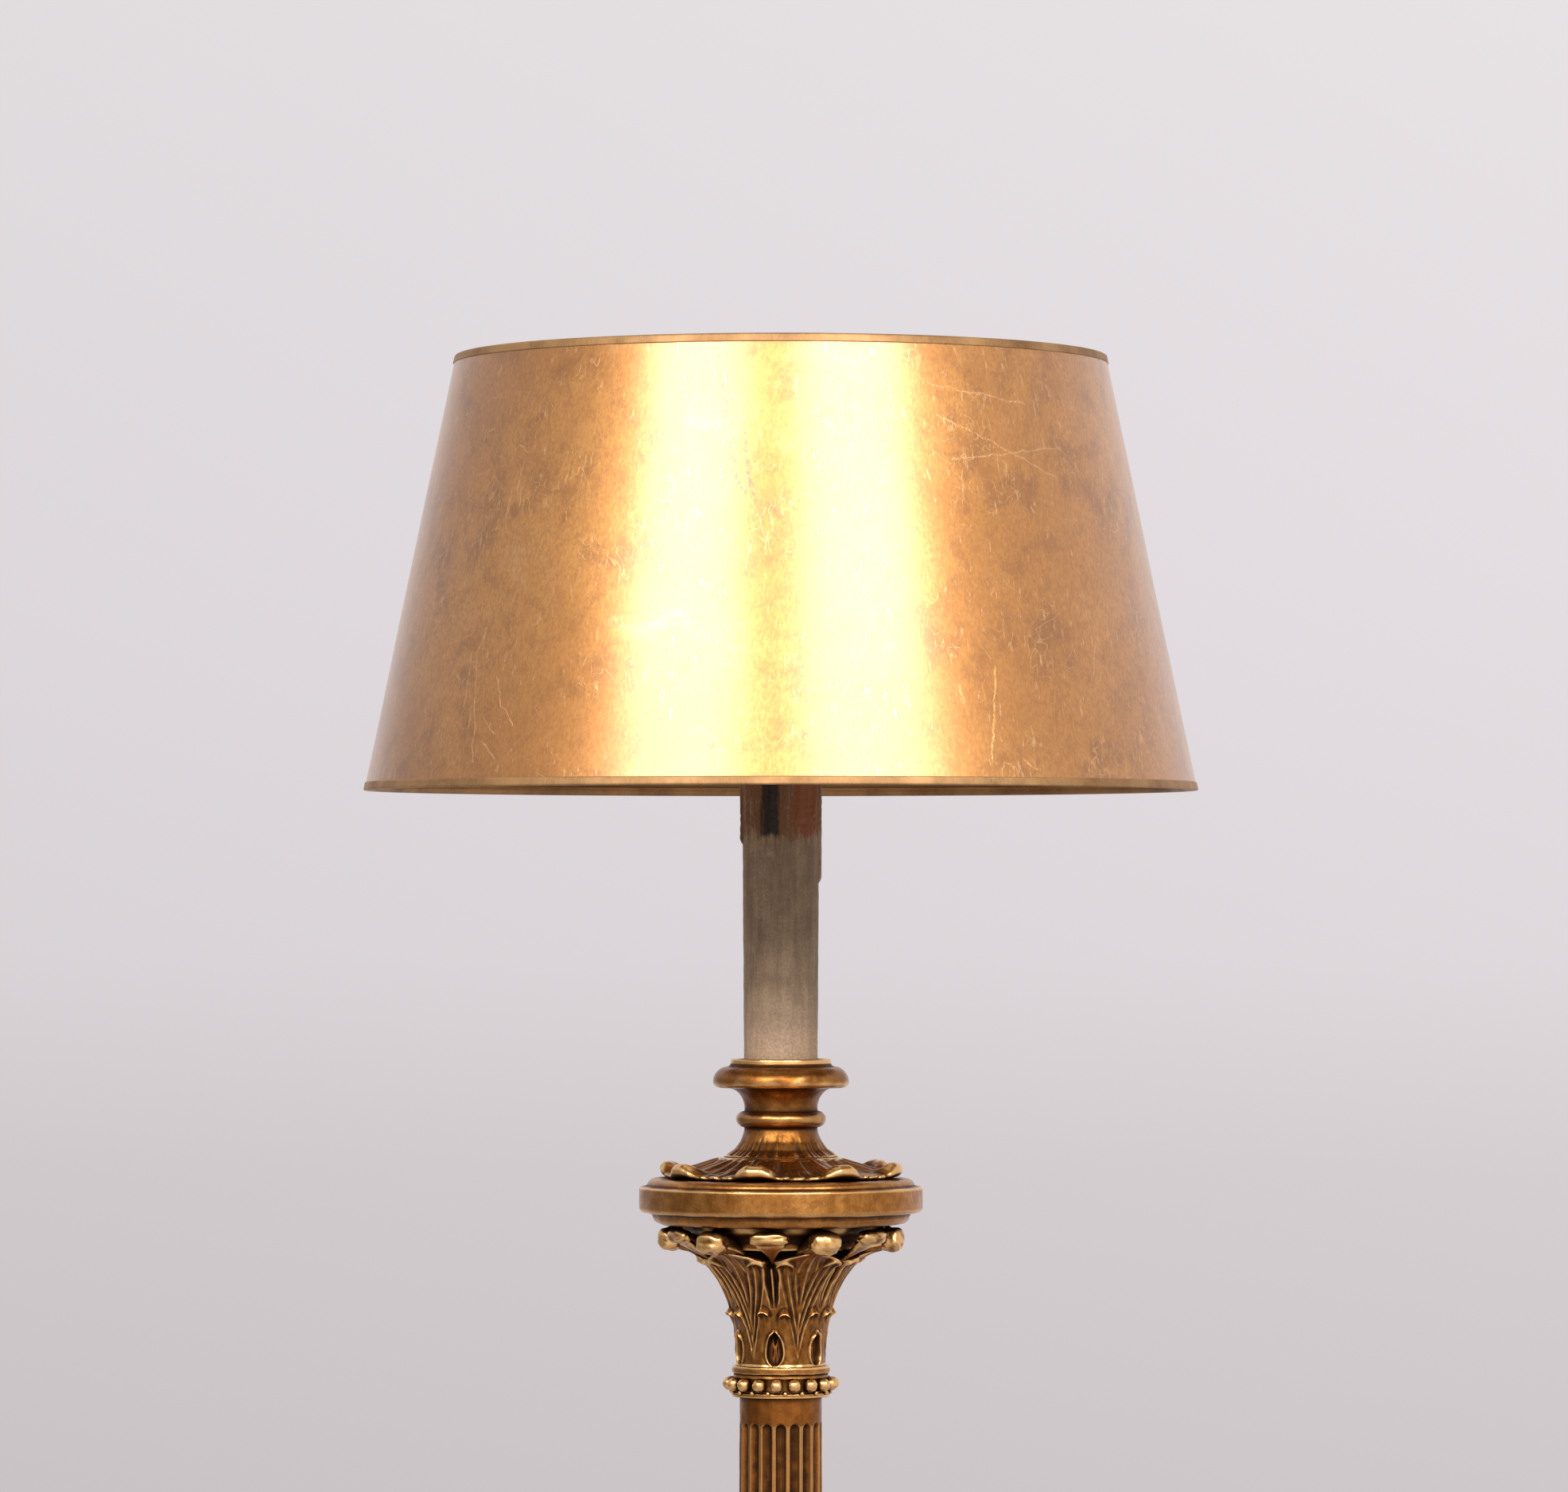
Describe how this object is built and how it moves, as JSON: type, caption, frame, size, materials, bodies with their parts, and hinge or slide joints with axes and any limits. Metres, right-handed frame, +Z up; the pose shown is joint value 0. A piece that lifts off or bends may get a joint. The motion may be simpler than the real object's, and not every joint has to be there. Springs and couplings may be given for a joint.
{
  "type": "floor lamp",
  "caption": "Tall fluted and carved gilt column on a round stepped foot, carrying an imitation candle, a lampholder and a tapered round shade.",
  "frame": {"origin": "on the floor under the middle of the round base", "axes": "+Z up along the column; -Y is the front, seen in the picture; +Y is the back, where the lead goes in"},
  "size_m": [0.4501, 0.4502, 1.5999],
  "materials": {
    "water_gilt_wood": "carved limewood, water gilded, burnished on the high places and toned brown in the hollows",
    "rubbed_gilt_wood": "gilding rubbed thin over brown bole, satin",
    "felt": "pressed wool felt",
    "steel": "zinc plated",
    "ballast_iron": "rough cast, blackened",
    "brass": "satin, slightly dulled",
    "black_moulding": "moulded phenolic, satin",
    "glazed_ceramic": "white glazed ceramic",
    "candle_card": "rolled card painted ivory, wax drips, toned brown near the top",
    "gold_leaf_card": "gold leaf laid over card, toned and lacquered, creased where the leaves overlap",
    "gilt_tape": "woven tape, bronze gold",
    "frosted_glass": "inside frosted",
    "clear_glass": "clear",
    "nickelled_cap": "rolled thread, satin"
  },
  "bodies": {
    "root": {"felt_pads": "felt", "bun_feet": "rubbed_gilt_wood", "foot_bolts": "steel", "base_plinth": "rubbed_gilt_wood", "ballast_disc": "ballast_iron", "ballast_screws": "steel", "base_washer": "steel", "base_nut": "steel", "inlet_bush": "brass", "base_gadroon": "rubbed_gilt_wood", "base_dome": "rubbed_gilt_wood", "lower_knop": "rubbed_gilt_wood", "leaf_vase": "rubbed_gilt_wood", "lower_collar": "rubbed_gilt_wood", "fluted_shaft": "rubbed_gilt_wood", "necking_collar": "water_gilt_wood", "capital": "water_gilt_wood", "drum_plate": "water_gilt_wood", "leaf_skirt": "water_gilt_wood", "candle_nozzle": "water_gilt_wood", "tie_tube": "steel", "cup_washer": "steel", "cup_nut": "steel", "candle_tube": "candle_card", "tube_cap": "brass", "cap_nut": "brass", "holder_cap": "black_moulding", "holder_body": "black_moulding", "holder_insert": "glazed_ceramic", "screw_shell": "brass", "centre_contact": "brass", "terminal_screws": "brass", "support_ring": "black_moulding"},
    "shade": {"fitter_ring": "brass", "shade_arms": "brass", "top_wire": "brass", "bottom_wire": "brass", "shade_skin": "gold_leaf_card", "top_trim": "gilt_tape", "bottom_trim": "gilt_tape"},
    "clamping_ring": {"clamp_ring": "black_moulding"},
    "bulb": {"bulb_glass": "frosted_glass", "bulb_stem": "clear_glass", "bulb_cap": "nickelled_cap", "bulb_insulator": "black_moulding", "bulb_contact": "brass"}
  },
  "joints": [
    {"name": "shade_turn", "type": "hinge", "parent": "root", "child": "shade", "pos_m": [0, 0, 1.4464], "axis": [0, 0, 1], "continuous": true},
    {"name": "ring_unscrew", "type": "slide", "parent": "root", "child": "clamping_ring", "axis": [0, 0, 1], "range_m": [0, 0.012]},
    {"name": "bulb_unscrew", "type": "slide", "parent": "root", "child": "bulb", "axis": [0, 0, 1], "range_m": [0, 0.17]}
  ]
}
